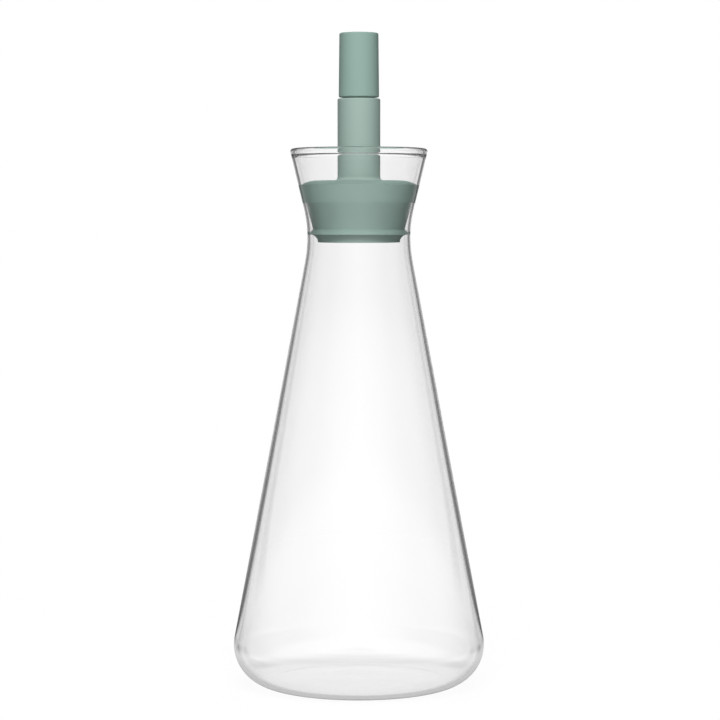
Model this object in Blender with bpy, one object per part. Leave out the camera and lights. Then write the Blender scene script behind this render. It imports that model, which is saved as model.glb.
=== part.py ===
"""Oil dispenser: a conical glass flask, a soft stopper with a pour tube in its stem, and a pull-off cap.

Metres, +Z up. The origin is on the upright axis, on the surface that the flask stands on.
Every piece is turned about that axis from a section, a run of (radius, height) points.
"""

import math

import bmesh
import bpy

# Fits
FIT_GAP = 0.0003
SNUG_GAP = 0.00015
SEAM_GAP = 0.0004

# Glass flask
BODY_HEIGHT = 0.1493
FLARE_HEIGHT = 0.0283
NECK_CORNER_RADIUS = 0.0161
NECK_BLEND_RADIUS = 0.040
BODY_TAPER = math.radians(10.7)
FLARE_TAPER = math.radians(13.5)
NECK_WALL = 0.0013
BELLY_WALL = 0.0017
BELLY_HEIGHT = 0.085
BELLY_ROUNDING = 1.0
FLARE_WALL = 0.0010
GLASS_FLOOR = 0.0015
HEEL_RADIUS = 0.0135
REST_RING_WIDTH = 0.0072
PUSH_UP_HEIGHT = 0.0008
RIM_THICKNESS = 0.0021
RIM_THICK_LENGTH = 0.0008
RIM_BLEND_LENGTH = 0.0007
RIM_UPPER_ROUND = 0.0006
RIM_LOWER_ROUND = 0.0010

# Stopper plug
SHOULDER_RISE = 0.01635
PLUG_TAPER = math.radians(14.4)
PLUG_SIDE_LENGTH = 0.01475
CROWN_HEIGHT = 0.0014
CROWN_RADIUS = 0.0110
LIP_BEVEL_HEIGHT = 0.0007
LIP_EDGE_HEIGHT = 0.0009
LIP_OVERHANG = 0.00205
COVE_HEIGHT = 0.0021
COVE_HOLLOW = 0.65
PLUG_FOOT_HEIGHT = 0.0006
SKIRT_WALL = 0.0016
SKIRT_ROOF = 0.0024
CORE_WALL = 0.0012
CORE_FLOOR = 0.0014
BOSS_WALL = 0.0010

# Pour tube
TUBE_RADIUS = 0.0054
TUBE_WALL = 0.0018
FLANGE_WIDTH = 0.0014
FLANGE_THICKNESS = 0.0015
LIP_LENGTH = 0.0012
LIP_UNDERCUT = 0.0004
UNDERCUT_LENGTH = 0.0040
MOUTH_FLARE = 0.0009
RING_SECTION = 0.0011
SHANK_RING_RISE = 0.0090
CAP_RING_RISE = 0.0034

# Breather and its holder
BREATHER_RADIUS = 0.0010
BREATHER_WALL = 0.0004
BREATHER_DEPTH_IN_MOUTH = 0.0040
METER_SEAT_STEP = 0.0006
METER_THICKNESS = 0.0016
HUB_WALL = 0.0006
HUB_HEIGHT = 0.0050
SLOT_COUNT = 3
SLOT_ARC = math.radians(84.0)

# Stem sleeve
SLEEVE_WALL = 0.00133
SLEEVE_LENGTH = 0.0265
SLEEVE_FOOT_FILLET = 0.0013
SLEEVE_FOOT_EDGE = 0.0002
SLEEVE_EDGE_ROUND = 0.0005

# Cap
CAP_LENGTH = 0.0210
CAP_SETBACK = 0.0004
CAP_DRAFT = 0.00022
CAP_ROOF = 0.0016
CAP_EDGE_ROUND = 0.0005
CAP_FOOT_ROUND = 0.0004
SEAL_THICKNESS = 0.0012
SEAL_STUB_LENGTH = 0.0016

# Fineness of the turned shapes
FLASK_SIDES = 64
STOPPER_SIDES = 40
BREATHER_SIDES = 20
RING_SECTION_SIDES = 8
SLOT_SIDES = 6
ARC_STEP = math.radians(22.5)
ARC_SAG = 0.00005
DOME_STEPS = 6
COVE_STEPS = 4
SMOOTH_ANGLE = math.radians(35.0)
WELD_DISTANCE = 1e-6
CUTTER_OVERRUN = 0.001
FILLET_SHARE = 0.95

# Shared places and sizes that follow from the values above
SHOULDER_HEIGHT = BODY_HEIGHT + SHOULDER_RISE
SIDE_FOOT_HEIGHT = SHOULDER_HEIGHT - PLUG_SIDE_LENGTH
LIP_HEIGHT = SIDE_FOOT_HEIGHT - LIP_BEVEL_HEIGHT
PLUG_BOTTOM = LIP_HEIGHT - LIP_EDGE_HEIGHT - COVE_HEIGHT - PLUG_FOOT_HEIGHT
PLUG_TOP = SHOULDER_HEIGHT + CROWN_HEIGHT
SLEEVE_BOTTOM = PLUG_TOP + FIT_GAP
SLEEVE_TOP = SLEEVE_BOTTOM + SLEEVE_LENGTH
CAP_BOTTOM = SLEEVE_TOP + SEAM_GAP
CAP_TOP = CAP_BOTTOM + CAP_LENGTH
CAP_ROOF_UNDERSIDE = CAP_TOP - CAP_ROOF
SEAL_TOP = CAP_ROOF_UNDERSIDE - FIT_GAP
SEAL_BOTTOM = SEAL_TOP - SEAL_THICKNESS
TUBE_MOUTH = SEAL_BOTTOM - FIT_GAP
POUR_BORE_RADIUS = TUBE_RADIUS - TUBE_WALL
SHANK_BORE_RADIUS = TUBE_RADIUS + FIT_GAP
METER_SEAT_RADIUS = POUR_BORE_RADIUS + METER_SEAT_STEP
METER_SEAT_DEPTH = METER_THICKNESS + SNUG_GAP
HUB_BORE_RADIUS = BREATHER_RADIUS + SNUG_GAP
HUB_RADIUS = HUB_BORE_RADIUS + HUB_WALL
STEM_RADIUS = SHANK_BORE_RADIUS + SLEEVE_WALL


def arc(centre, radius, start, end):
    """Points along an arc about centre, from one angle to another."""
    sag_step = 2 * math.acos(1 - min(ARC_SAG / radius, 1.0))
    steps = max(2, math.ceil(abs(end - start) / min(ARC_STEP, sag_step)))
    angles = [start + (end - start) * step / steps for step in range(steps + 1)]
    return [(centre[0] + radius * math.cos(a), centre[1] + radius * math.sin(a)) for a in angles]


def room(corner, neighbour):
    """How much of a straight run a fillet at its corner may take: half if the other end is rounded too."""
    length = math.hypot(neighbour[0] - corner[0], neighbour[1] - corner[1])
    return length / 2 if len(neighbour) == 3 else length * FILLET_SHARE


def fillet(before, corner, after):
    """The corner between two straight runs, rounded to its radius or as far as the runs allow."""
    run_in = (before[0] - corner[0], before[1] - corner[1])
    run_out = (after[0] - corner[0], after[1] - corner[1])
    length_in = math.hypot(*run_in)
    length_out = math.hypot(*run_out)
    unit_in = (run_in[0] / length_in, run_in[1] / length_in)
    unit_out = (run_out[0] / length_out, run_out[1] / length_out)
    half_angle = math.acos(unit_in[0] * unit_out[0] + unit_in[1] * unit_out[1]) / 2
    reach = min(corner[2] / math.tan(half_angle), room(corner, before), room(corner, after))
    start = (corner[0] + unit_in[0] * reach, corner[1] + unit_in[1] * reach)
    middle = (unit_in[0] + unit_out[0], unit_in[1] + unit_out[1])
    to_centre = reach / math.cos(half_angle) / math.hypot(*middle)
    centre = (corner[0] + middle[0] * to_centre, corner[1] + middle[1] * to_centre)
    first_angle = math.atan2(start[1] - centre[1], start[0] - centre[0])
    turn = math.pi - 2 * half_angle
    if unit_in[0] * unit_out[1] - unit_in[1] * unit_out[0] > 0:
        turn = -turn
    return arc(centre, reach * math.tan(half_angle), first_angle, first_angle + turn)


def outline(corners):
    """An open run through corners given as (radius, height) or (radius, height, fillet radius)."""
    points = []
    for index, corner in enumerate(corners):
        if len(corner) == 3:
            points += fillet(corners[index - 1], corner, corners[index + 1])
        else:
            points.append(corner)
    return points


def shade_smooth(mesh):
    """Rounds the shading of turned faces and keeps the sharp edges sharp."""
    mesh.shade_smooth()
    mesh.set_sharp_from_angle(angle=SMOOTH_ANGLE)


def swept(name, section, angle, sides):
    """A mesh swept about Z from a closed section, all the way round or over part of a turn."""
    shape = bmesh.new()
    ring = [shape.verts.new((radius, 0.0, height)) for radius, height in section]
    for first, second in zip(ring, ring[1:] + ring[:1]):
        if first.co.x > WELD_DISTANCE or second.co.x > WELD_DISTANCE:
            shape.edges.new((first, second))
    whole_turn = math.isclose(angle, math.tau)
    profile = ring + shape.edges[:]
    if not whole_turn:
        profile = [*profile, shape.faces.new(ring)]
    bmesh.ops.spin(
        shape,
        geom=profile,
        cent=(0.0, 0.0, 0.0),
        axis=(0.0, 0.0, 1.0),
        angle=angle,
        steps=sides,
        use_merge=whole_turn,
    )
    bmesh.ops.remove_doubles(shape, verts=shape.verts[:], dist=WELD_DISTANCE)
    bmesh.ops.recalc_face_normals(shape, faces=shape.faces[:])
    mesh = bpy.data.meshes.new(name)
    shape.to_mesh(mesh)
    shape.free()
    shade_smooth(mesh)
    return mesh


def turned(name, section, material, sides, origin_height):
    """A solid of revolution. Its origin is on the axis at origin_height, and so is the section's zero."""
    lowered = [(radius, height - origin_height) for radius, height in section]
    mesh = swept(name, lowered, math.tau, sides)
    mesh.materials.append(material)
    piece = bpy.data.objects.new(name, mesh)
    piece.location = (0.0, 0.0, origin_height)
    bpy.context.scene.collection.objects.link(piece)
    return piece


def finish(name, colour, roughness, metallic=0.0, transmission=0.0, ior=1.5):
    """A Principled material."""
    material = bpy.data.materials.new(name)
    material.use_nodes = True
    shader = material.node_tree.nodes["Principled BSDF"]
    shader.inputs["Base Color"].default_value = (*colour, 1.0)
    shader.inputs["Roughness"].default_value = roughness
    shader.inputs["Metallic"].default_value = metallic
    shader.inputs["Transmission Weight"].default_value = transmission
    shader.inputs["IOR"].default_value = ior
    material.diffuse_color = (*colour, 1.0)
    return material


def clear_glass():
    """Colourless borosilicate glass."""
    return finish("clear_glass", (0.97, 0.985, 0.98), roughness=0.02, transmission=1.0, ior=1.47)


def green_silicone():
    """The soft sage green of the stopper."""
    return finish("green_silicone", (0.34, 0.465, 0.415), roughness=0.62)


def green_satin_plastic():
    """The paler, slightly glossier sage green of the stem."""
    return finish("green_satin_plastic", (0.40, 0.53, 0.475), roughness=0.38)


def green_matte_plastic():
    """The sage green of the cap."""
    return finish("green_matte_plastic", (0.33, 0.475, 0.42), roughness=0.55)


def grey_green_plastic():
    """The plain plastic of the core and the pour tube."""
    return finish("grey_green_plastic", (0.42, 0.52, 0.475), roughness=0.45)


def clear_silicone():
    """The milky silicone of the rings and the cap's liner."""
    return finish("clear_silicone", (0.80, 0.82, 0.80), roughness=0.5)


def white_plastic():
    """The natural plastic of the metering insert and the breather."""
    return finish("white_plastic", (0.86, 0.87, 0.85), roughness=0.4)


def flare_radius(height, depth=0.0):
    """The radius of the flare's straight side at a height, at a depth under the outer face of the glass."""
    return NECK_CORNER_RADIUS + (height - BODY_HEIGHT) * math.tan(FLARE_TAPER) - depth / math.cos(FLARE_TAPER)


def body_radius(height, depth=0.0):
    """The radius of the body's straight side at a height, at a depth under the outer face of the glass."""
    return NECK_CORNER_RADIUS + (BODY_HEIGHT - height) * math.tan(BODY_TAPER) - depth / math.cos(BODY_TAPER)


def inner_taper():
    """The slope of the inner face from the neck down to the belly, where the wall is thicker."""
    spread = body_radius(BELLY_HEIGHT, BELLY_WALL) - body_radius(BODY_HEIGHT, NECK_WALL)
    return math.atan2(spread, BODY_HEIGHT - BELLY_HEIGHT)


def inner_neck_corner():
    """Where the straight inner faces of body and flare would meet."""
    spread = FLARE_WALL / math.cos(FLARE_TAPER) - NECK_WALL / math.cos(BODY_TAPER)
    height = BODY_HEIGHT + spread / (math.tan(inner_taper()) + math.tan(FLARE_TAPER))
    return flare_radius(height, FLARE_WALL), height


def bore_radius(height):
    """The radius of the glass's inner face at a height near the neck, its blend included."""
    blend = NECK_BLEND_RADIUS + NECK_WALL
    corner = inner_neck_corner()
    half_turn = (inner_taper() + FLARE_TAPER) / 2
    lean = (FLARE_TAPER - inner_taper()) / 2
    reach = blend / math.cos(half_turn)
    centre = (corner[0] + reach * math.cos(lean), corner[1] - reach * math.sin(lean))
    upper_end = centre[1] + blend * math.sin(FLARE_TAPER)
    lower_end = centre[1] - blend * math.sin(inner_taper())
    if height > upper_end:
        return flare_radius(height, FLARE_WALL)
    if height < lower_end:
        return corner[0] + (corner[1] - height) * math.tan(inner_taper())
    return centre[0] - math.sqrt(blend**2 - (height - centre[1]) ** 2)


def dome(radius, height, base):
    """Points of a shallow dome from the axis out to its edge, level at both ends."""
    spans = [radius * step / DOME_STEPS for step in range(DOME_STEPS)]
    return [(span, base + height * (1 + math.cos(math.pi * span / radius)) / 2) for span in spans]


def glass_flask():
    """The flask's wall: out from the base's centre, up to the rim, over its bead and back down inside."""
    rim_height = BODY_HEIGHT + FLARE_HEIGHT
    heel_reach = HEEL_RADIUS / math.tan((math.pi / 2 - BODY_TAPER) / 2)
    push_up_radius = body_radius(0.0) - heel_reach - REST_RING_WIDTH
    bead = RIM_THICKNESS / 2
    bead_height = rim_height - bead
    bead_centre = (flare_radius(bead_height, bead), bead_height)
    thick_foot = bead_height - RIM_THICK_LENGTH
    thin_top = thick_foot - RIM_BLEND_LENGTH
    outside = outline([
        *dome(push_up_radius, PUSH_UP_HEIGHT, 0.0),
        (push_up_radius, 0.0),
        (body_radius(0.0), 0.0, HEEL_RADIUS),
        (NECK_CORNER_RADIUS, BODY_HEIGHT, NECK_BLEND_RADIUS),
        (flare_radius(bead_height), bead_height),
    ])
    rim = arc(bead_centre, bead, -FLARE_TAPER, math.pi - FLARE_TAPER)
    inside = outline([
        rim[-1],
        (flare_radius(thick_foot, RIM_THICKNESS), thick_foot, RIM_UPPER_ROUND),
        (flare_radius(thin_top, FLARE_WALL), thin_top, RIM_LOWER_ROUND),
        (*inner_neck_corner(), NECK_BLEND_RADIUS + NECK_WALL),
        (body_radius(BELLY_HEIGHT, BELLY_WALL), BELLY_HEIGHT, BELLY_ROUNDING),
        (body_radius(GLASS_FLOOR, BELLY_WALL), GLASS_FLOOR, HEEL_RADIUS - BELLY_WALL),
        (push_up_radius, GLASS_FLOOR),
        *reversed(dome(push_up_radius, PUSH_UP_HEIGHT, GLASS_FLOOR)),
    ])
    section = outside[:-1] + rim + inside[1:]
    return turned("glass_flask", section, clear_glass(), FLASK_SIDES, 0.0)


def plug_radius(height):
    """The radius of the plug's conical side at a height. It follows the flare inside the glass."""
    shoulder = flare_radius(SHOULDER_HEIGHT, FLARE_WALL) - FIT_GAP
    return shoulder - (SHOULDER_HEIGHT - height) * math.tan(PLUG_TAPER)


def lip_radius():
    """The radius of the sealing lip, which all but meets the glass at the neck."""
    return bore_radius(LIP_HEIGHT) - FIT_GAP


def foot_radius():
    """The radius of the plug's foot, below the lip."""
    return lip_radius() - LIP_OVERHANG


def crown():
    """The plug's rounded top edge, from the flat top out to the shoulder."""
    edge = math.acos((CROWN_RADIUS - CROWN_HEIGHT) / CROWN_RADIUS)
    width = CROWN_RADIUS * math.sin(edge)
    centre = (plug_radius(SHOULDER_HEIGHT) - width, PLUG_TOP - CROWN_RADIUS)
    return arc(centre, CROWN_RADIUS, math.pi / 2, math.pi / 2 - edge)


def cove():
    """The hollow curve from the lip in and down to the foot, shallower than a quarter round."""
    bottom = PLUG_BOTTOM + PLUG_FOOT_HEIGHT
    points = []
    for step in range(COVE_STEPS + 1):
        share = step / COVE_STEPS
        turn = math.pi / 2 * share
        reach = share + COVE_HOLLOW * (math.sin(turn) - share)
        drop = share + COVE_HOLLOW * (1 - math.cos(turn) - share)
        points.append((lip_radius() - LIP_OVERHANG * reach, bottom + COVE_HEIGHT * (1 - drop)))
    return points


def plug_skirt(material):
    """The soft outer body, open below, where the core goes in. Its cavity is narrowest at the foot."""
    roof = PLUG_TOP - SKIRT_ROOF
    cavity_foot = foot_radius() - SKIRT_WALL
    section = [
        (SHANK_BORE_RADIUS, PLUG_TOP),
        *crown(),
        (plug_radius(SIDE_FOOT_HEIGHT), SIDE_FOOT_HEIGHT),
        (lip_radius(), LIP_HEIGHT),
        *cove(),
        (foot_radius(), PLUG_BOTTOM),
        (cavity_foot, PLUG_BOTTOM),
        (cavity_foot, SIDE_FOOT_HEIGHT),
        (plug_radius(roof) - SKIRT_WALL, roof),
        (SHANK_BORE_RADIUS, roof),
    ]
    return turned("plug_skirt", section, material, STOPPER_SIDES, PLUG_BOTTOM)


def plug_core(material):
    """The rigid cup inside the skirt, with a boss for the pour tube and a recess for its flange."""
    top = PLUG_TOP - SKIRT_ROOF - FIT_GAP
    side_foot = SIDE_FOOT_HEIGHT - FIT_GAP
    outer_foot = foot_radius() - SKIRT_WALL - FIT_GAP
    outer_top = plug_radius(top) - SKIRT_WALL - FIT_GAP / math.cos(PLUG_TAPER)
    recess_radius = TUBE_RADIUS + FLANGE_WIDTH + FIT_GAP
    recess_top = PLUG_BOTTOM + FLANGE_THICKNESS + FIT_GAP
    floor_top = recess_top + CORE_FLOOR
    boss_radius = SHANK_BORE_RADIUS + BOSS_WALL
    section = [
        (recess_radius, PLUG_BOTTOM),
        (recess_radius, recess_top),
        (SHANK_BORE_RADIUS, recess_top),
        (SHANK_BORE_RADIUS, top),
        (boss_radius, top),
        (boss_radius, floor_top),
        (outer_foot - CORE_WALL, floor_top),
        (outer_top - CORE_WALL, top),
        (outer_top, top),
        (outer_foot, side_foot),
        (outer_foot, PLUG_BOTTOM),
    ]
    return turned("plug_core", section, material, STOPPER_SIDES, PLUG_BOTTOM)


def ring_reach():
    """How far out an O-ring's outer edge comes: it stands half a fit gap proud of the tube."""
    return TUBE_RADIUS + FIT_GAP / 2


def ring_groove(middle):
    """The four corners of an O-ring's groove in the tube, from its top edge down."""
    floor = ring_reach() - RING_SECTION - SNUG_GAP
    half_width = RING_SECTION / 2 + SNUG_GAP
    return [
        (TUBE_RADIUS, middle + half_width),
        (floor, middle + half_width),
        (floor, middle - half_width),
        (TUBE_RADIUS, middle - half_width),
    ]


def pour_tube(material):
    """The tube from the flange under the core to the drip lip under the cap."""
    lip_bottom = TUBE_MOUTH - LIP_LENGTH
    undercut_bottom = TUBE_MOUTH - UNDERCUT_LENGTH
    seat_top = PLUG_BOTTOM + METER_SEAT_DEPTH
    flange_top = PLUG_BOTTOM + FLANGE_THICKNESS
    flange_radius = TUBE_RADIUS + FLANGE_WIDTH
    waist = TUBE_RADIUS - LIP_UNDERCUT
    section = [
        (METER_SEAT_RADIUS, PLUG_BOTTOM),
        (METER_SEAT_RADIUS, seat_top),
        (POUR_BORE_RADIUS, seat_top),
        (POUR_BORE_RADIUS, TUBE_MOUTH - 2 * MOUTH_FLARE),
        (POUR_BORE_RADIUS + MOUTH_FLARE, TUBE_MOUTH),
        (TUBE_RADIUS - LIP_UNDERCUT / 2, TUBE_MOUTH),
        (TUBE_RADIUS, TUBE_MOUTH - LIP_UNDERCUT / 2),
        (TUBE_RADIUS, lip_bottom),
        (waist, lip_bottom - LIP_UNDERCUT),
        (waist, undercut_bottom + LIP_UNDERCUT),
        (TUBE_RADIUS, undercut_bottom),
        *ring_groove(SLEEVE_TOP + CAP_RING_RISE),
        *ring_groove(PLUG_BOTTOM + SHANK_RING_RISE),
        (TUBE_RADIUS, flange_top),
        (flange_radius, flange_top),
        (flange_radius, PLUG_BOTTOM),
    ]
    return turned("pour_tube", section, material, STOPPER_SIDES, PLUG_BOTTOM)


def o_ring(name, middle, material):
    """A round-section ring in its groove on the pour tube."""
    radius = RING_SECTION / 2
    centre = ring_reach() - radius
    turns = [math.tau * side / RING_SECTION_SIDES for side in range(RING_SECTION_SIDES)]
    section = [(centre + radius * math.cos(t), middle + radius * math.sin(t)) for t in turns]
    return turned(name, section, material, STOPPER_SIDES, middle)


def slot_cutter(index):
    """A curved block that cuts one of the metering slots, between the hub and the tube's bore."""
    low = -CUTTER_OVERRUN
    high = METER_THICKNESS + CUTTER_OVERRUN
    inner = HUB_RADIUS + SNUG_GAP
    outer = POUR_BORE_RADIUS - SNUG_GAP
    section = [(inner, low), (outer, low), (outer, high), (inner, high)]
    mesh = swept("slot_cutter", section, SLOT_ARC, SLOT_SIDES)
    cutter = bpy.data.objects.new(f"slot_cutter_{index + 1}", mesh)
    cutter.rotation_euler.z = math.tau * index / SLOT_COUNT
    cutter.hide_render = True
    cutter.display_type = "WIRE"
    bpy.context.scene.collection.objects.link(cutter)
    return cutter


def metering_insert(material):
    """The slotted disc that seats in the tube's lower end, with a hub for the breather."""
    bottom = PLUG_BOTTOM
    disc_radius = METER_SEAT_RADIUS - SNUG_GAP
    section = [
        (HUB_BORE_RADIUS, bottom),
        (HUB_BORE_RADIUS, bottom + HUB_HEIGHT),
        (HUB_RADIUS, bottom + HUB_HEIGHT),
        (HUB_RADIUS, bottom + METER_THICKNESS),
        (disc_radius, bottom + METER_THICKNESS),
        (disc_radius, bottom),
    ]
    insert = turned("metering_insert", section, material, STOPPER_SIDES, bottom)
    for index in range(SLOT_COUNT):
        cutter = slot_cutter(index)
        cutter.parent = insert
        slot = insert.modifiers.new(f"slot_{index + 1}", "BOOLEAN")
        slot.operation = "DIFFERENCE"
        slot.solver = "EXACT"
        slot.object = cutter
    return insert


def breather_tube(material):
    """The thin air tube, from the insert's hub to just below the tube's mouth."""
    top = TUBE_MOUTH - BREATHER_DEPTH_IN_MOUTH
    inner = BREATHER_RADIUS - BREATHER_WALL
    section = [
        (inner, PLUG_BOTTOM),
        (inner, top),
        (BREATHER_RADIUS, top),
        (BREATHER_RADIUS, PLUG_BOTTOM),
    ]
    return turned("breather_tube", section, material, BREATHER_SIDES, PLUG_BOTTOM)


def stem_sleeve(material):
    """The stem's outer sleeve, which stands on the plug with a filleted foot."""
    foot_radius_out = STEM_RADIUS + SLEEVE_FOOT_FILLET
    foot_edge = SLEEVE_BOTTOM + SLEEVE_FOOT_EDGE
    fillet_centre = (foot_radius_out, foot_edge + SLEEVE_FOOT_FILLET)
    outside = [
        (foot_radius_out, SLEEVE_BOTTOM),
        *arc(fillet_centre, SLEEVE_FOOT_FILLET, -math.pi / 2, -math.pi),
    ]
    top = outline([
        outside[-1],
        (STEM_RADIUS, SLEEVE_TOP, SLEEVE_EDGE_ROUND),
        (SHANK_BORE_RADIUS, SLEEVE_TOP),
    ])
    section = [(SHANK_BORE_RADIUS, SLEEVE_BOTTOM), *outside, *top[1:]]
    return turned("stem_sleeve", section, material, STOPPER_SIDES, SLEEVE_BOTTOM)


def cap_shell(material):
    """The cap: a drafted cup that slides over the pour tube."""
    foot = STEM_RADIUS - CAP_SETBACK
    inner_edge = CAP_FOOT_ROUND / 2
    section = outline([
        (0.0, CAP_TOP),
        (foot - CAP_DRAFT, CAP_TOP, CAP_EDGE_ROUND),
        (foot, CAP_BOTTOM, CAP_FOOT_ROUND),
        (SHANK_BORE_RADIUS + inner_edge, CAP_BOTTOM),
        (SHANK_BORE_RADIUS, CAP_BOTTOM + inner_edge),
        (SHANK_BORE_RADIUS, CAP_ROOF_UNDERSIDE),
        (0.0, CAP_ROOF_UNDERSIDE),
    ])
    return turned("cap_shell", section, material, STOPPER_SIDES, CAP_BOTTOM)


def cap_seal(material):
    """The liner under the cap's roof, with a stub that enters the tube's mouth."""
    stub = POUR_BORE_RADIUS - FIT_GAP
    stub_bottom = SEAL_BOTTOM - SEAL_STUB_LENGTH
    section = [
        (0.0, SEAL_TOP),
        (SHANK_BORE_RADIUS - FIT_GAP, SEAL_TOP),
        (SHANK_BORE_RADIUS - FIT_GAP, SEAL_BOTTOM),
        (stub, SEAL_BOTTOM),
        (stub, stub_bottom),
        (0.0, stub_bottom),
    ]
    return turned("cap_seal", section, material, STOPPER_SIDES, CAP_BOTTOM)


def carrier(name, height, parent=None):
    """An empty on the upright axis, which carries the pieces that move together."""
    empty = bpy.data.objects.new(name, None)
    empty.empty_display_size = STEM_RADIUS
    empty.location = (0.0, 0.0, height)
    bpy.context.scene.collection.objects.link(empty)
    if parent:
        hang(empty, parent)
    return empty


def hang(piece, parent):
    """Parents a piece where it stands. All of them lie on one upright axis."""
    above = parent
    while above:
        piece.location.z -= above.location.z
        above = above.parent
    piece.parent = parent


def main():
    """Builds the flask, then the stopper in its mouth, then the cap on the stopper's tube."""
    for leftover in list(bpy.data.objects):
        bpy.data.objects.remove(leftover)
    silicone = green_silicone()
    plain = grey_green_plastic()
    seal = clear_silicone()
    natural = white_plastic()
    flask = glass_flask()
    stopper = carrier("stopper_lift_axis", PLUG_BOTTOM, flask)
    for piece in (
        plug_skirt(silicone),
        plug_core(plain),
        pour_tube(plain),
        stem_sleeve(green_satin_plastic()),
        o_ring("shank_o_ring", PLUG_BOTTOM + SHANK_RING_RISE, seal),
        o_ring("cap_o_ring", SLEEVE_TOP + CAP_RING_RISE, seal),
        metering_insert(natural),
        breather_tube(natural),
    ):
        hang(piece, stopper)
    cap = carrier("cap_lift_axis", CAP_BOTTOM, stopper)
    for piece in (cap_shell(green_matte_plastic()), cap_seal(seal)):
        hang(piece, cap)


main()
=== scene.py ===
"""The looks of an oil dispenser: a conical glass flask, a soft green pouring stopper and the cap on its stem.

Metres, +Z up. Most pieces are turned about the upright axis from a section of (radius, height) points; the
seal rings are spun from a circle and the cap's shell is shaped from a cylinder.
"""

import logging
import math
from collections.abc import Callable, Mapping, Sequence
from dataclasses import dataclass
from enum import Enum

import bmesh
import bpy
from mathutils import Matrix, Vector


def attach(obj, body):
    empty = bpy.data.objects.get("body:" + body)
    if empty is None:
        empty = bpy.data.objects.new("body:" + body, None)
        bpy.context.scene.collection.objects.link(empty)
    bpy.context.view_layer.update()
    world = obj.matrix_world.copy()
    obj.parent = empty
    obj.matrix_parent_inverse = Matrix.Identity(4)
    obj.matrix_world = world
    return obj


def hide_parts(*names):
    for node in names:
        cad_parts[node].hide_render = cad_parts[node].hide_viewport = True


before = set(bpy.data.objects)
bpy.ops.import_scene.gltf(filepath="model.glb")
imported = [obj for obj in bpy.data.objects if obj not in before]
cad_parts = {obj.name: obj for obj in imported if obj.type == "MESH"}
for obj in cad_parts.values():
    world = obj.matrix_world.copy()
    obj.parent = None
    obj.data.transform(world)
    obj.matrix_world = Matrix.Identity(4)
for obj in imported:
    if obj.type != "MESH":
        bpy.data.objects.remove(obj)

LOG = logging.getLogger("oil_dispenser")
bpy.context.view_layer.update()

Point = tuple[float, float]
Span = tuple[float, float]
Triple = tuple[float, float, float]
Piece = bpy.types.Object
Material = bpy.types.Material
Node = bpy.types.Node
Socket = bpy.types.NodeSocket
Value = Socket | float | Sequence[float]

AXIS_FOOT = (0.0, 0.0, 0.0)
UPWARDS = (0.0, 0.0, 1.0)
WELD = 1e-6
ARC_STEP = math.radians(6.0)
ARC_SAG = 4e-6
FEWEST_ARC_STEPS = 4
HOLDING_DISTANCE = 0.0002
LONGEST_RUN = 0.005
SMOOTH_ANGLE = math.radians(32.0)
FINE_EDGE = 0.0001
SMALL_EDGE = 0.0002
SOFT_EDGE = 0.0003
PATCH_NOISE: Span = (0.35, 0.7)


class Body(Enum):
    """The moving bodies of the frame."""

    FLASK = "flask"
    STOPPER = "stopper"
    CAP = "cap"


class Sides(Enum):
    """How many sides a turned piece has."""

    FLASK = 256
    STEM = 160
    SMALL = 96


class Kind(Enum):
    """What is selected on a mesh."""

    VERTICES = "VERT"
    EDGES = "EDGE"
    FACES = "FACE"


# Sections


@dataclass(frozen=True)
class Corner:
    """A corner of a section, with the radius that it is rounded to."""

    radius: float
    height: float
    rounding: float = 0.0

    @property
    def place(self) -> Point:
        """The corner as a plain point."""
        return self.radius, self.height


Run = Corner | list[Point]


def arc(centre: Point, radius: float, start: float, end: float) -> list[Point]:
    """Points along an arc.

    Args:
        centre: Centre of the arc.
        radius: Radius of the arc.
        start: Angle of the first point, from the outward direction.
        end: Angle of the last point.

    Returns:
        The points, close enough together for the arc to look round.
    """
    sag_step = 2 * math.acos(1 - min(ARC_SAG / radius, 1.0))
    steps = max(FEWEST_ARC_STEPS, math.ceil(abs(end - start) / min(ARC_STEP, sag_step)))
    angles = [start + (end - start) * step / steps for step in range(steps + 1)]
    return [(centre[0] + radius * math.cos(a), centre[1] + radius * math.sin(a)) for a in angles]


def fillet(before: Point, corner: Corner, after: Point) -> list[Point]:
    """The arc that rounds a corner between two straight runs.

    Args:
        before: The point that the first run comes from.
        corner: The corner to round.
        after: The point that the second run goes to.

    Returns:
        The points of the arc, from the first run to the second.
    """
    tip = Vector(corner.place)
    unit_in = (Vector(before) - tip).normalized()
    unit_out = (Vector(after) - tip).normalized()
    half_angle = unit_in.angle(unit_out) / 2
    reach = corner.rounding / math.tan(half_angle)
    start = tip + unit_in * reach
    centre = tip + (unit_in + unit_out).normalized() * (reach / math.cos(half_angle))
    first_angle = math.atan2(start.y - centre.y, start.x - centre.x)
    turn = math.pi - 2 * half_angle
    if unit_in.x * unit_out.y - unit_in.y * unit_out.x > 0:
        turn = -turn
    return arc(tuple(centre), corner.rounding, first_angle, first_angle + turn)


def held(start: Point, end: Point) -> list[Point]:
    """Points between the ends of a straight run, which keep its shading straight.

    Args:
        start: First end of the run, left out of the result.
        end: Other end of the run, left out of the result.

    Returns:
        A point close to each end and as many between as the run's length needs.
    """
    length = math.dist(start, end)
    if length < 3 * HOLDING_DISTANCE:
        return []
    inner = length - 2 * HOLDING_DISTANCE
    steps = max(1, math.ceil(inner / LONGEST_RUN))
    spans = [(HOLDING_DISTANCE + inner * step / steps) / length for step in range(steps + 1)]
    return [(start[0] + (end[0] - start[0]) * s, start[1] + (end[1] - start[1]) * s) for s in spans]


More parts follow.
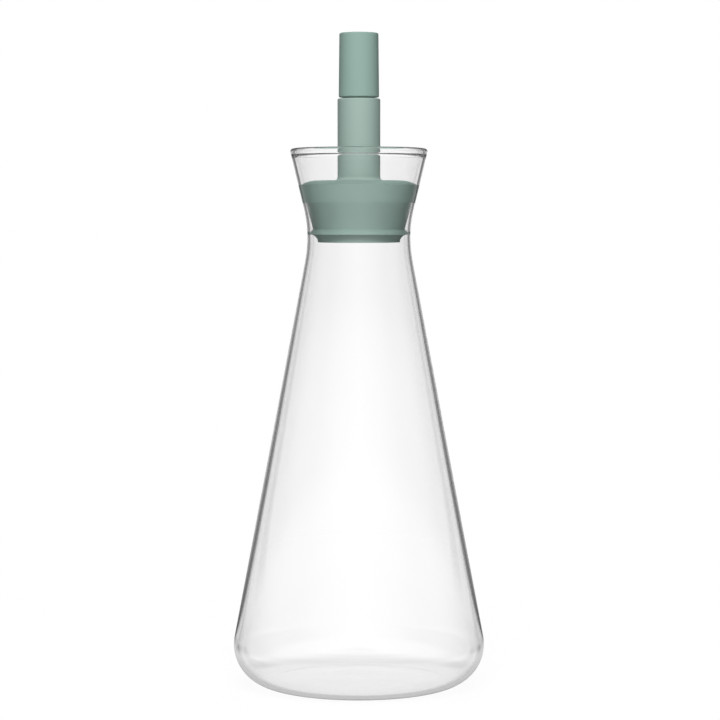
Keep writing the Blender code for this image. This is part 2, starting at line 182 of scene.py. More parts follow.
def outline(runs: Sequence[Run], closed: bool) -> list[Point]:
    """A section through corners and ready curves.

    Args:
        runs: Corners, and curves as lists of points, in order.
        closed: Whether the last point joins the first.

    Returns:
        All points of the section.
    """
    heads = [run.place if isinstance(run, Corner) else run[0] for run in runs]
    tails = [run.place if isinstance(run, Corner) else run[-1] for run in runs]
    points: list[Point] = []
    for index, run in enumerate(runs):
        if isinstance(run, Corner) and run.rounding:
            stretch = fillet(tails[index - 1], run, heads[(index + 1) % len(runs)])
        elif isinstance(run, Corner):
            stretch = [run.place]
        else:
            stretch = run
        if points:
            points += held(points[-1], stretch[0])
            if math.dist(points[-1], stretch[0]) < WELD:
                stretch = stretch[1:]
        points += stretch
    if closed:
        points += held(points[-1], points[0])
    return points


# The workbench


def clear_bench() -> None:
    """Deselects everything, so that the next step acts on the next piece alone."""
    bpy.ops.object.select_all(action="DESELECT")


def begin(name: str) -> Piece:
    """Names the primitive that was just added, puts its place in its mesh and opens it for editing.

    Args:
        name: Name of the piece.

    Returns:
        The piece.
    """
    piece = bpy.context.object
    piece.name = name
    piece.data.name = name
    bpy.ops.object.transform_apply(location=True, rotation=True, scale=True)
    bpy.ops.object.mode_set(mode="EDIT")
    return piece


def finished(piece: Piece) -> Piece:
    """Welds a piece, points its faces outwards and rounds its shading.

    Args:
        piece: The piece that is open for editing.

    Returns:
        The same piece, closed.
    """
    bpy.ops.mesh.select_all(action="SELECT")
    bpy.ops.mesh.remove_doubles(threshold=WELD)
    bpy.ops.mesh.normals_make_consistent(inside=False)
    bpy.ops.object.mode_set(mode="OBJECT")
    bpy.ops.object.shade_smooth_by_angle(angle=SMOOTH_ANGLE)
    return piece


def pick(piece: Piece, kind: Kind, wanted: Callable[[Vector], bool]) -> None:
    """Selects the vertices, edges or faces of a piece whose middle passes a test.

    Args:
        piece: The piece that is open for editing.
        kind: What is selected.
        wanted: The test, on the middle of each.
    """
    bpy.ops.mesh.select_mode(type=kind.value)
    bpy.ops.mesh.select_all(action="DESELECT")
    mesh = bmesh.from_edit_mesh(piece.data)
    if kind is Kind.VERTICES:
        middles = [(vert, vert.co) for vert in mesh.verts]
    elif kind is Kind.EDGES:
        middles = [(edge, (edge.verts[0].co + edge.verts[1].co) / 2) for edge in mesh.edges]
    else:
        middles = [(face, face.calc_center_median()) for face in mesh.faces]
    for element, middle in middles:
        element.select_set(wanted(middle))
    mesh.select_flush_mode()
    bmesh.update_edit_mesh(piece.data)


def spin(steps: int, angle: float = math.tau) -> None:
    """Spins what is selected about the upright axis, in steps through an angle."""
    bpy.ops.mesh.spin(steps=steps, angle=angle, use_auto_merge=True, center=AXIS_FOOT, axis=UPWARDS)


def draw_section(name: str, section: Sequence[Point], closed: bool) -> Piece:
    """Draws a section as a run of edges, vertex by vertex.

    Args:
        name: Name of the piece.
        section: The points, in order.
        closed: Whether the last point joins the first.

    Returns:
        The piece, open for editing, with the section selected.
    """
    clear_bench()
    bpy.ops.mesh.primitive_plane_add(size=2 * WELD, location=(section[0][0], 0.0, section[0][1]))
    piece = begin(name)
    bpy.ops.mesh.select_mode(type=Kind.VERTICES.value)
    bpy.ops.mesh.select_all(action="SELECT")
    bpy.ops.mesh.merge(type="CENTER")
    for before, after in zip(section, section[1:]):
        step = (after[0] - before[0], 0.0, after[1] - before[1])
        bpy.ops.mesh.extrude_vertices_move(TRANSFORM_OT_translate={"value": step})
    if closed:
        ends = (section[0], section[-1])
        pick(
            piece,
            Kind.VERTICES,
            lambda co: min(math.dist((co.x, co.z), end) for end in ends) < WELD,
        )
        bpy.ops.mesh.edge_face_add()
    bpy.ops.mesh.select_all(action="SELECT")
    return piece


def turned(name: str, runs: Sequence[Run], sides: Sides, closed: bool = True) -> Piece:
    """A piece spun from its section.

    Args:
        name: Name of the piece.
        runs: Corners and curves of the section, in order.
        sides: How many sides the piece has.
        closed: Whether the section is a closed ring, clear of the axis.

    Returns:
        The finished piece.
    """
    piece = draw_section(name, outline(runs, closed), closed)
    spin(sides.value)
    return finished(piece)


# Finishes


def grey(level: float) -> tuple[float, float, float, float]:
    """A grey of a brightness."""
    return level, level, level, 1.0


class NodeWork:
    """Places, fills and links nodes in one tree."""

    def __init__(self, tree: bpy.types.NodeTree) -> None:
        """Starts on a tree."""
        self.tree = tree

    def fill(self, sockets: Sequence[Socket], values: Mapping[str | int, Value]) -> None:
        """Fills inputs.

        Args:
            sockets: The inputs of a node.
            values: An output to link or a plain value, by the name or number of the input.
        """
        for name, value in values.items():
            if isinstance(value, Socket):
                self.tree.links.new(value, sockets[name])
            else:
                sockets[name].default_value = value

    def add(self, kind: str, inputs: Mapping[str | int, Value] | None = None, **settings: object) -> Node:
        """Adds a node.

        Args:
            kind: Type of the node.
            inputs: What its inputs get, as fill takes it.
            settings: Its properties.

        Returns:
            The node.
        """
        node = self.tree.nodes.new(kind)
        for name, value in settings.items():
            setattr(node, name, value)
        self.fill(node.inputs, inputs or {})
        return node

    def math(self, operation: str, first: Value, second: Value) -> Socket:
        """The result of a Math node on two values."""
        return self.add("ShaderNodeMath", {0: first, 1: second}, operation=operation).outputs[0]

    def spread(self, value: Socket, source: Span, target: tuple[Value, Value]) -> Socket:
        """Maps a value from one range to another, smoothly and within the range.

        Args:
            value: The value to map.
            source: Its range.
            target: The range that it is mapped to, as numbers or links.

        Returns:
            The mapped value.
        """
        ends = {"From Min": source[0], "From Max": source[1], "To Min": target[0], "To Max": target[1]}
        node = self.add("ShaderNodeMapRange", {"Value": value, **ends}, interpolation_type="SMOOTHSTEP")
        return node.outputs["Result"]

    def blend(self, share: Value, first: Value, second: Value) -> Socket:
        """A value that goes from first to second with share."""
        return self.add("ShaderNodeMix", {0: share, 2: first, 3: second}, data_type="FLOAT").outputs[0]

    def mix(self, share: Socket, first: Node, second: Node) -> Node:
        """A Mix Shader node from first to second with share."""
        return self.add("ShaderNodeMixShader", {0: share, 1: first.outputs[0], 2: second.outputs[0]})

    def glow(self, strength: Socket) -> Node:
        """An Emission node of a strength."""
        return self.add("ShaderNodeEmission", {"Strength": strength})

    def noise(self, scale: Value, inputs: Mapping[str, Value]) -> Socket:
        """Noise of a scale on Object coordinates, with what its other inputs get."""
        spot = self.add("ShaderNodeTexCoord").outputs["Object"]
        return self.add("ShaderNodeTexNoise", {"Vector": spot, "Scale": scale, **inputs}).outputs["Fac"]

    def relief(self, height: Socket, depth: float) -> Socket:
        """The normals of a surface with a relief of a depth."""
        return self.add("ShaderNodeBump", {"Height": height, "Distance": depth}).outputs["Normal"]


class GroupWork(NodeWork):
    """Work on a new node group with named inputs and outputs."""

    def __init__(self, name: str, inputs: Mapping[str, float | Triple], outputs: Sequence[str]) -> None:
        """Makes the group.

        Args:
            name: Name of the group.
            inputs: Its numbers and vectors, with the values that they start with.
            outputs: Names of the numbers that it puts out.
        """
        super().__init__(bpy.data.node_groups.new(name, "ShaderNodeTree"))
        for label, value in inputs.items():
            kind = "NodeSocketVector" if isinstance(value, tuple) else "NodeSocketFloat"
            made = self.tree.interface.new_socket(name=label, in_out="INPUT", socket_type=kind)
            made.default_value = value
        for label in outputs:
            self.tree.interface.new_socket(name=label, in_out="OUTPUT", socket_type="NodeSocketFloat")
        self.given = self.add("NodeGroupInput").outputs

    def close(self, results: Mapping[str, Socket]) -> bpy.types.NodeTree:
        """Puts out the results and hands over the group."""
        self.add("NodeGroupOutput", results)
        return self.tree


def surface_grain() -> bpy.types.NodeTree:
    """The fine grain and faint mottle of a moulded surface.

    Returns:
        A node group with the grain's size and the mottle's size and depth as inputs. It puts out a
        shade to multiply a colour by, and a relief.
    """
    inputs = {"Grain Size": 0.0003, "Mottle Size": 0.012, "Mottle Depth": 0.03}
    work = GroupWork("surface_grain", inputs, ("Shade", "Relief"))
    grain_scale = work.math("DIVIDE", 1.0, work.given["Grain Size"])
    grain = work.noise(grain_scale, {"Detail": 3.0, "Roughness": 0.6})
    mottle = work.noise(work.math("DIVIDE", 1.0, work.given["Mottle Size"]), {"Detail": 2.0})
    coarse = work.math("SUBTRACT", mottle, 0.5)
    fine = work.math("MULTIPLY", work.math("SUBTRACT", grain, 0.5), 0.5)
    depth = work.math("MULTIPLY", work.math("ADD", coarse, fine), work.given["Mottle Depth"])
    return work.close({"Shade": work.math("ADD", 1.0, depth), "Relief": grain})


def handling_marks() -> bpy.types.NodeTree:
    """Patches where a surface is a little duller from being handled and wiped.

    Returns:
        A node group with the patches' size and the lowest and highest roughness as inputs. It puts
        out a roughness.
    """
    inputs = {"Patch Size": 0.01, "Lowest": 0.3, "Highest": 0.4}
    work = GroupWork("handling_marks", inputs, ("Roughness",))
    patch_scale = work.math("DIVIDE", 1.0, work.given["Patch Size"])
    patches = work.noise(patch_scale, {"Detail": 4.0, "Distortion": 0.4})
    levels = (work.given["Lowest"], work.given["Highest"])
    return work.close({"Roughness": work.spread(patches, PATCH_NOISE, levels)})


class Effects:
    """The node groups that the finishes share, and the materials made so far."""

    def __init__(self) -> None:
        """Builds each group once."""
        self.grain = surface_grain()
        self.marks = handling_marks()
        self.made: dict[str, Material] = {}

    def material(self, finish: "Moulded | BlownGlass") -> Material:
        """Gives out the material of a finish, made the first time that it is asked for.

        Args:
            finish: The finish.

        Returns:
            Its material.
        """
        if finish.name not in self.made:
            self.made[finish.name] = finish.make(self)
        return self.made[finish.name]

    def dulled(self, work: NodeWork, patch_size: float, levels: Span) -> Socket:
        """The roughness of a handled surface, in patches of a size, between two levels."""
        values = {"Patch Size": patch_size, "Lowest": levels[0], "Highest": levels[1]}
        return work.add("ShaderNodeGroup", values, node_tree=self.marks).outputs["Roughness"]


def new_material(name: str) -> tuple[Material, NodeWork]:
    """Starts a material that has a Principled BSDF.

    Args:
        name: Name of the material.

    Returns:
        The material, and the work on its nodes.
    """
    material = bpy.data.materials.new(name)
    material.use_nodes = True
    return material, NodeWork(material.node_tree)


@dataclass(frozen=True)
class Moulded:
    """A moulded plastic or silicone. Its name is the record's material slot."""

    name: str
    colour: Triple
    dullness: Span
    specular: float = 0.5
    grain_size: float = 0.00035
    grain_depth: float = 0.000006
    mottle_size: float = 0.014
    mottle_depth: float = 0.05
    patch_size: float = 0.009
    translucence: float = 0.0
    glow_depth: float = 0.001

    def make(self, effects: Effects) -> Material:
        """Builds the material.

        Args:
            effects: The shared node groups.

        Returns:
            The material.
        """
        material, work = new_material(self.name)
        sizes = {
            "Grain Size": self.grain_size,
            "Mottle Size": self.mottle_size,
            "Mottle Depth": self.mottle_depth,
        }
        grain = work.add("ShaderNodeGroup", sizes, node_tree=effects.grain).outputs
        tint = work.add("ShaderNodeVectorMath", {0: self.colour, "Scale": grain["Shade"]}, operation="SCALE")
        work.fill(work.tree.nodes["Principled BSDF"].inputs, {
            "Base Color": tint.outputs[0],
            "Roughness": effects.dulled(work, self.patch_size, self.dullness),
            "Normal": work.relief(grain["Relief"], self.grain_depth),
            "Specular IOR Level": self.specular,
            "Subsurface Weight": self.translucence,
            "Subsurface Scale": self.glow_depth,
        })
        material.diffuse_color = (*self.colour, 1.0)
        return material


@dataclass(frozen=True)
class BlownGlass:
    """Clear blown glass with a barely wavy surface. Its name is the record's material slot."""

    name: str
    colour: Triple = (1.0, 1.0, 1.0)
    index: float = 1.47
    dullness: Span = (0.0, 0.012)
    patch_size: float = 0.02
    wave_size: float = 0.02
    wave_depth: float = 0.00002
    let_through: float = 0.955
    slant_loss: float = 4.0
    most_bounces: float = 6.5

    def make(self, effects: Effects) -> Material:
        """Builds the material.

        It lets the light of lamps straight through, less of it at a slant, and lets go of light that
        stays in the wall.

        Args:
            effects: The shared node groups.

        Returns:
            The material.
        """
        material, work = new_material(self.name)
        shader = work.tree.nodes["Principled BSDF"]
        work.fill(shader.inputs, {
            "Base Color": (*self.colour, 1.0),
            "Transmission Weight": 1.0,
            "IOR": self.index,
            "Roughness": effects.dulled(work, self.patch_size, self.dullness),
            "Normal": work.relief(work.noise(1.0 / self.wave_size, {"Detail": 1.0}), self.wave_depth),
        })
        clear = work.add("ShaderNodeBsdfTransparent", {"Color": grey(self.let_through)})
        path = work.add("ShaderNodeLightPath").outputs
        slant = work.add("ShaderNodeLayerWeight").outputs["Facing"]
        kept = work.math("SUBTRACT", 1.0, work.math("POWER", slant, self.slant_loss))
        lit = work.math("MAXIMUM", path["Is Shadow Ray"], path["Is Diffuse Ray"])
        trapped = work.math("GREATER_THAN", path["Glossy Depth"], self.most_bounces)
        share = work.math("MAXIMUM", work.math("MULTIPLY", lit, kept), trapped)
        surface = work.mix(share, shader, clear).outputs[0]
        work.fill(work.tree.nodes["Material Output"].inputs, {"Surface": surface})
        return material


@dataclass(frozen=True)
class Palette:
    """Every finish on the dispenser."""

    glass: BlownGlass = BlownGlass("clear_glass")
    plug: Moulded = Moulded("green_silicone", (0.356, 0.498, 0.446), (0.58, 0.72), specular=0.2)
    stem: Moulded = Moulded("green_satin_plastic", (0.38, 0.51, 0.457), (0.40, 0.50))
    cap: Moulded = Moulded("green_matte_plastic", (0.31, 0.455, 0.40), (0.55, 0.66), specular=0.4)
    inner: Moulded = Moulded("grey_green_plastic", (0.42, 0.52, 0.475), (0.38, 0.5))
    seal: Moulded = Moulded("clear_silicone", (0.72, 0.74, 0.72), (0.4, 0.55), translucence=0.3)
    natural: Moulded = Moulded("white_plastic", (0.80, 0.81, 0.79), (0.35, 0.5), translucence=0.2)


# Pieces


def dress(piece: Piece, finish: Moulded | BlownGlass, effects: Effects, body: Body, node: str) -> None:
    """Dresses a piece and hands it to the frame.

    Args:
        piece: The finished piece.
        finish: Its finish.
        effects: The shared node groups and materials.
        body: The body that it moves with.
        node: The node of the frame that it stands for.
    """
    piece.data.materials.clear()
    piece.data.materials.append(effects.material(finish))
    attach(piece, body.value)
    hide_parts(node)
    LOG.info("%s: %d faces, on %s, for %s", piece.name, len(piece.data.polygons), body.value, node)


@dataclass
class Flask:
    """The glass flask: a cone with a rounded heel, a waist and a flared mouth with a fire-polished rim."""

    body_height: float = 0.1493
    flare_height: float = 0.0283
    neck_corner_radius: float = 0.0161
    neck_blend: float = 0.040
    body_taper: float = math.radians(10.7)
    flare_taper: float = math.radians(13.5)
    neck_wall: float = 0.0013
    belly_wall: float = 0.0017
    belly_height: float = 0.085
    belly_rounding: float = 1.0
    flare_wall: float = 0.0010
    floor: float = 0.0015
    heel: float = 0.013525
    rest_ring_width: float = 0.0072
    push_up: float = 0.0008
    rim_thickness: float = 0.0021
    rim_thick_length: float = 0.0008
    rim_blend_length: float = 0.0007
    rim_upper_round: float = 0.0006
    rim_lower_round: float = 0.0010
    dome_steps: int = 24

    def flare_radius(self, height: float, depth: float = 0.0) -> float:
        """The radius of the flare's side at a height, at a depth under the glass's outer face."""
        outer = self.neck_corner_radius + (height - self.body_height) * math.tan(self.flare_taper)
        return outer - depth / math.cos(self.flare_taper)

    def body_radius(self, height: float, depth: float = 0.0) -> float:
        """The radius of the body's side at a height, at a depth under the glass's outer face."""
        outer = self.neck_corner_radius + (self.body_height - height) * math.tan(self.body_taper)
        return outer - depth / math.cos(self.body_taper)

    def inner_taper(self) -> float:
        """The slope of the inner face from the neck down to the belly, where the wall is thicker.

        Returns:
            The angle from upright.
        """
        neck = self.body_radius(self.body_height, self.neck_wall)
        belly = self.body_radius(self.belly_height, self.belly_wall)
        return math.atan2(belly - neck, self.body_height - self.belly_height)

    def inner_neck_corner(self) -> Point:
        """Where the straight inner faces of body and flare would meet.

        Returns:
            The corner, before it is rounded.
        """
        spread = self.flare_wall / math.cos(self.flare_taper) - self.neck_wall / math.cos(self.body_taper)
        height = self.body_height + spread / (math.tan(self.inner_taper()) + math.tan(self.flare_taper))
        return self.flare_radius(height, self.flare_wall), height

    def bore_radius(self, height: float) -> float:
        """The radius of the inner face at a height near the neck, its blend included.

        Args:
            height: Where the radius is wanted.

        Returns:
            The radius on the flare, on the blend or on the cone below it.
        """
        blend = self.neck_blend + self.neck_wall
        corner = self.inner_neck_corner()
        slope = self.inner_taper()
        lean = (self.flare_taper - slope) / 2
        reach = blend / math.cos((slope + self.flare_taper) / 2)
        centre = (corner[0] + reach * math.cos(lean), corner[1] - reach * math.sin(lean))
        if height > centre[1] + blend * math.sin(self.flare_taper):
            return self.flare_radius(height, self.flare_wall)
        if height < centre[1] - blend * math.sin(slope):
            return corner[0] + (corner[1] - height) * math.tan(slope)
        return centre[0] - math.sqrt(blend**2 - (height - centre[1]) ** 2)

    def dome(self, radius: float, base: float) -> list[Point]:
        """The pushed-up middle of the base, from the axis to its edge, level at both."""
        spans = [radius * step / self.dome_steps for step in range(self.dome_steps + 1)]
        return [(s, base + self.push_up * (1 + math.cos(math.pi * s / radius)) / 2) for s in spans]

    def section(self) -> list[Run]:
        """The wall's section, from the base's middle up outside, over the rim and down inside.

        Returns:
            Its corners and curves, in order.
        """
        heel_reach = self.heel / math.tan((math.pi / 2 - self.body_taper) / 2)
        push_up_radius = self.body_radius(0.0) - heel_reach - self.rest_ring_width
        bead = self.rim_thickness / 2
        bead_height = self.body_height + self.flare_height - bead
        bead_centre = (self.flare_radius(bead_height, bead), bead_height)
        thick_foot = bead_height - self.rim_thick_length
        thin_top = thick_foot - self.rim_blend_length
        belly_radius = self.body_radius(self.belly_height, self.belly_wall)
        floor_radius = self.body_radius(self.floor, self.belly_wall)
        return [
            self.dome(push_up_radius, 0.0),
            Corner(self.body_radius(0.0), 0.0, self.heel),
            Corner(self.neck_corner_radius, self.body_height, self.neck_blend),
            arc(bead_centre, bead, -self.flare_taper, math.pi - self.flare_taper),
            Corner(self.flare_radius(thick_foot, self.rim_thickness), thick_foot, self.rim_upper_round),
            Corner(self.flare_radius(thin_top, self.flare_wall), thin_top, self.rim_lower_round),
            Corner(*self.inner_neck_corner(), self.neck_blend + self.neck_wall),
            Corner(belly_radius, self.belly_height, self.belly_rounding),
            Corner(floor_radius, self.floor, self.heel - self.belly_wall),
            self.dome(push_up_radius, self.floor)[::-1],
        ]

    def build(self, palette: Palette, effects: Effects) -> None:
        """Turns the flask and dresses it in glass."""
        piece = turned("flask_glass", self.section(), Sides.FLASK, closed=False)
        dress(piece, palette.glass, effects, Body.FLASK, "glass_flask")


@dataclass
class Stopper:
    """The soft plug in the flask's mouth, the rigid cup and pour tube in it, and the stem's sleeve."""

    flask: Flask
    fit: float = 0.0003
    snug: float = 0.00015
    squeeze: float = 0.00003
    shoulder_rise: float = 0.01635
    contact_length: float = 0.0052
    contact_rounding: float = 0.02
    plug_taper: float = math.radians(14.4)
    side_length: float = 0.01475
    crown_height: float = 0.0014
    crown_radius: float = 0.0110
    lip_bevel_height: float = 0.0007
    lip_edge_height: float = 0.0009
    lip_overhang: float = 0.00205
    cove_height: float = 0.0021
    cove_hollow: float = 0.65
    cove_steps: int = 10
    foot_height: float = 0.0006
    skirt_wall: float = 0.0016
    skirt_roof: float = 0.0024
    core_wall: float = 0.0012
    core_floor: float = 0.0014
    boss_wall: float = 0.0010
    tube_radius: float = 0.0054
    tube_wall: float = 0.0018
    flange_width: float = 0.0014
    flange_thickness: float = 0.0015
    drip_lip_length: float = 0.0012
    undercut: float = 0.0004
    undercut_length: float = 0.0040
    mouth_flare: float = 0.0009
    mouth_rounding: float = 0.002
    ring_section: float = 0.0011
    ring_sides: int = 24
    shank_ring_rise: float = 0.0090
    cap_ring_rise: float = 0.0034
    breather_radius: float = 0.0010
    breather_wall: float = 0.0004
    breather_depth: float = 0.0040
    seat_step: float = 0.0006
    disc_thickness: float = 0.0016
    hub_wall: float = 0.0006
    hub_height: float = 0.0050
    slot_count: int = 3
    slot_arc: float = math.radians(84.0)
    slot_steps: int = 16
    cutter_margin: float = 0.001
    sleeve_wall: float = 0.00133
    sleeve_length: float = 0.0265
    sleeve_foot_fillet: float = 0.0013
    sleeve_edge: float = 0.0005
    seam: float = 0.0004
    cap_length: float = 0.0210
    cap_roof: float = 0.0016
    seal_thickness: float = 0.0012

    def __post_init__(self) -> None:
        """Works out the heights and radii that the pieces share, up from the plug and out from the tube."""
        self.shoulder = self.flask.body_height + self.shoulder_rise
        self.side_foot = self.shoulder - self.side_length
        self.lip = self.side_foot - self.lip_bevel_height
        self.bottom = self.lip - self.lip_edge_height - self.cove_height - self.foot_height
        self.top = self.shoulder + self.crown_height
        self.sleeve_top = self.top + self.fit + self.sleeve_length
        self.cap_bottom = self.sleeve_top + self.seam
        self.cap_underside = self.cap_bottom + self.cap_length - self.cap_roof
        self.mouth = self.cap_underside - self.fit - self.seal_thickness - self.fit
        self.bore = self.tube_radius + self.fit
        self.stem_radius = self.bore + self.sleeve_wall
        self.ring_centre = self.tube_radius + self.fit / 2 - self.ring_section / 2
        self.lip_radius = self.flask.bore_radius(self.lip) + self.squeeze
        self.foot_radius = self.flask.bore_radius(self.lip) - self.fit - self.lip_overhang

    def side_radius(self, height: float) -> float:
        """The radius of the plug's free side at a height."""
        start = self.flask.flare_radius(self.shoulder, self.flask.flare_wall) - self.snug
        return start - (self.shoulder - height) * math.tan(self.plug_taper)

    def contact_radius(self, height: float) -> float:
        """The radius where the plug is pressed against the glass."""
        return self.flask.flare_radius(height, self.flask.flare_wall) + self.squeeze

    def crown(self) -> list[Point]:
        """The plug's rounded top edge, from its flat top out to the shoulder.

        Returns:
            The points of the curve.
        """
        edge = math.acos((self.crown_radius - self.crown_height) / self.crown_radius)
        width = self.crown_radius * math.sin(edge)
        centre = (self.contact_radius(self.shoulder) - width, self.top - self.crown_radius)
        return arc(centre, self.crown_radius, math.pi / 2, math.pi / 2 - edge)

    def cove(self) -> list[Point]:
        """The hollow curve under the lip, in and down to the foot, shallower than a quarter round.

        Returns:
            The points of the curve.
        """
        low = self.bottom + self.foot_height
        wide = self.lip_radius - self.foot_radius
        points = []
        for step in range(self.cove_steps + 1):
            share = step / self.cove_steps
            turn = math.pi / 2 * share
            reach = share + self.cove_hollow * (math.sin(turn) - share)
            drop = share + self.cove_hollow * (1 - math.cos(turn) - share)
            points.append((self.lip_radius - wide * reach, low + self.cove_height * (1 - drop)))
        return points

    def build_skirt(self) -> Piece:
        """The soft outer body of the plug, open below.

        Returns:
            The finished piece.
        """
        roof = self.top - self.skirt_roof
        cavity_foot = self.foot_radius - self.skirt_wall
        contact_foot = self.shoulder - self.contact_length
        return turned("plug_soft_body", [
            Corner(self.bore, self.top),
            self.crown(),
            Corner(self.contact_radius(contact_foot), contact_foot, self.contact_rounding),
            Corner(self.side_radius(self.side_foot), self.side_foot, SOFT_EDGE),
            Corner(self.lip_radius, self.lip, SMALL_EDGE),
            self.cove(),
            Corner(self.foot_radius, self.bottom, SMALL_EDGE),
            Corner(cavity_foot, self.bottom),
            Corner(cavity_foot, self.side_foot),
            Corner(self.side_radius(roof) - self.skirt_wall, roof),
            Corner(self.bore, roof),
        ], Sides.STEM)

    def build_core(self) -> Piece:
        """The rigid cup in the plug, with a boss for the pour tube and a recess for its flange.

        Returns:
            The finished piece.
        """
        top = self.top - self.skirt_roof - self.fit
        side_foot = self.side_foot - self.fit
        outer_foot = self.foot_radius - self.skirt_wall - self.fit
        outer_top = self.side_radius(top) - self.skirt_wall - self.fit / math.cos(self.plug_taper)
        recess = self.tube_radius + self.flange_width + self.fit
        recess_top = self.bottom + self.flange_thickness + self.fit
        floor_top = recess_top + self.core_floor
        boss = self.bore + self.boss_wall
        return turned("plug_inner_cup", [
            Corner(recess, self.bottom),
            Corner(recess, recess_top),
            Corner(self.bore, recess_top),
            Corner(self.bore, top),
            Corner(boss, top, SMALL_EDGE),
            Corner(boss, floor_top),
            Corner(outer_foot - self.core_wall, floor_top),
            Corner(outer_top - self.core_wall, top),
            Corner(outer_top, top, SOFT_EDGE),
            Corner(outer_foot, side_foot),
            Corner(outer_foot, self.bottom, SMALL_EDGE),
        ], Sides.STEM)

    def groove(self, middle: float) -> list[Run]:
        """A seal ring's groove in the tube, from its top edge down.

        Args:
            middle: Height of the ring's middle.

        Returns:
            The corners, in order.
        """
        low = self.ring_centre - self.ring_section / 2 - self.snug
        half = self.ring_section / 2 + self.snug
        return [
            Corner(self.tube_radius, middle + half),
            Corner(low, middle + half),
            Corner(low, middle - half),
            Corner(self.tube_radius, middle - half),
        ]

    def build_tube(self) -> Piece:
        """The pour tube, from its flange under the cup to the drip lip under the cap.

        Returns:
            The finished piece.
        """
        lip_bottom = self.mouth - self.drip_lip_length
        undercut_bottom = self.mouth - self.undercut_length
        bore = self.tube_radius - self.tube_wall
        seat = bore + self.seat_step
        seat_top = self.bottom + self.disc_thickness + self.snug
        flange = self.tube_radius + self.flange_width
        flange_top = self.bottom + self.flange_thickness
        waist = self.tube_radius - self.undercut
        return turned("pouring_tube", [
            Corner(seat, self.bottom),
            Corner(seat, seat_top),
            Corner(bore, seat_top),
            Corner(bore, self.mouth - 2 * self.mouth_flare, self.mouth_rounding),
            Corner(bore + self.mouth_flare, self.mouth, SMALL_EDGE),
            Corner(self.tube_radius, self.mouth, self.undercut / 2),
            Corner(self.tube_radius, lip_bottom, FINE_EDGE),
            Corner(waist, lip_bottom - self.undercut, SOFT_EDGE),
            Corner(waist, undercut_bottom + self.undercut, SOFT_EDGE),
            Corner(self.tube_radius, undercut_bottom, SMALL_EDGE),
            *self.groove(self.sleeve_top + self.cap_ring_rise),
            *self.groove(self.bottom + self.shank_ring_rise),
            Corner(self.tube_radius, flange_top),
            Corner(flange, flange_top, SMALL_EDGE),
            Corner(flange, self.bottom, SMALL_EDGE),
        ], Sides.STEM)

    def build_ring(self, name: str, middle: float) -> Piece:
        """A seal ring: a small upright circle spun about the axis.

        Args:
            name: Name of the ring.
            middle: Height of its middle.

        Returns:
            The finished ring.
        """
        clear_bench()
        bpy.ops.mesh.primitive_circle_add(
            vertices=self.ring_sides,
            radius=self.ring_section / 2,
            location=(self.ring_centre, 0.0, middle),
            rotation=(math.pi / 2, 0.0, 0.0),
        )
        ring = begin(name)
        bpy.ops.mesh.select_all(action="SELECT")
        spin(Sides.SMALL.value)
        return finished(ring)

    def cut_slots(self, disc: Piece) -> None:
        """Cuts the curved metering slots through the disc, each with its own cutter.

        Args:
            disc: The finished disc.
        """
        inner = self.breather_radius + self.snug + self.hub_wall + self.snug
        outer = self.tube_radius - self.tube_wall - self.snug
        low = self.bottom - self.cutter_margin
        high = self.bottom + self.disc_thickness + self.cutter_margin
        for index in range(self.slot_count):
            section = [(inner, low), (outer, low), (outer, high), (inner, high)]
            cutter = draw_section(f"slot_cutter_{index}", section, closed=True)
            bpy.ops.mesh.edge_face_add()
            bpy.ops.transform.rotate(
                value=math.tau * index / self.slot_count, orient_axis="Z", center_override=AXIS_FOOT
            )
            spin(self.slot_steps, self.slot_arc)
            finished(cutter)
            cut = disc.modifiers.new("slot", "BOOLEAN")
            cut.operation = "DIFFERENCE"
            cut.solver = "EXACT"
            cut.object = cutter
            clear_bench()
            bpy.context.view_layer.objects.active = disc
            bpy.ops.object.modifier_apply(modifier=cut.name)
            bpy.data.objects.remove(cutter)

    def build_disc(self) -> Piece:
        """The slotted metering disc in the tube's lower end, with a hub for the breather.

        Returns:
            The finished piece.
        """
        hub_bore = self.breather_radius + self.snug
        hub = hub_bore + self.hub_wall
        hub_top = self.bottom + self.hub_height
        disc_radius = self.tube_radius - self.tube_wall + self.seat_step - self.snug
        disc = turned("oil_metering_disc", [
            Corner(hub_bore, self.bottom),
            Corner(hub_bore, hub_top),
            Corner(hub, hub_top, FINE_EDGE),
            Corner(hub, self.bottom + self.disc_thickness),
            Corner(disc_radius, self.bottom + self.disc_thickness, FINE_EDGE),
            Corner(disc_radius, self.bottom, FINE_EDGE),
        ], Sides.SMALL)
        self.cut_slots(disc)
        clear_bench()
        disc.select_set(True)
        bpy.ops.object.shade_smooth_by_angle(angle=SMOOTH_ANGLE)
        return disc

    def build_breather(self) -> Piece:
        """The thin air tube, from the disc's hub up to just below the pour tube's mouth.

        Returns:
            The finished piece.
        """
        top = self.mouth - self.breather_depth
        inner = self.breather_radius - self.breather_wall
        return turned("air_tube", [
            Corner(inner, self.bottom),
            Corner(inner, top),
            Corner(self.breather_radius, top, FINE_EDGE),
            Corner(self.breather_radius, self.bottom),
        ], Sides.SMALL)

    def build_sleeve(self) -> Piece:
        """The stem's outer sleeve, whose foot flows into the plug's top.

        Returns:
            The finished piece.
        """
        foot = self.stem_radius + self.sleeve_foot_fillet
        foot_centre = (foot, self.top + self.sleeve_foot_fillet)
        return turned("stem_cover", [
            Corner(foot + self.fit, self.top - self.fit),
            arc(foot_centre, self.sleeve_foot_fillet, -math.pi / 2, -math.pi),
            Corner(self.stem_radius, self.sleeve_top, self.sleeve_edge),
            Corner(self.bore, self.sleeve_top, SMALL_EDGE),
            Corner(self.bore, self.top - self.fit),
        ], Sides.STEM)

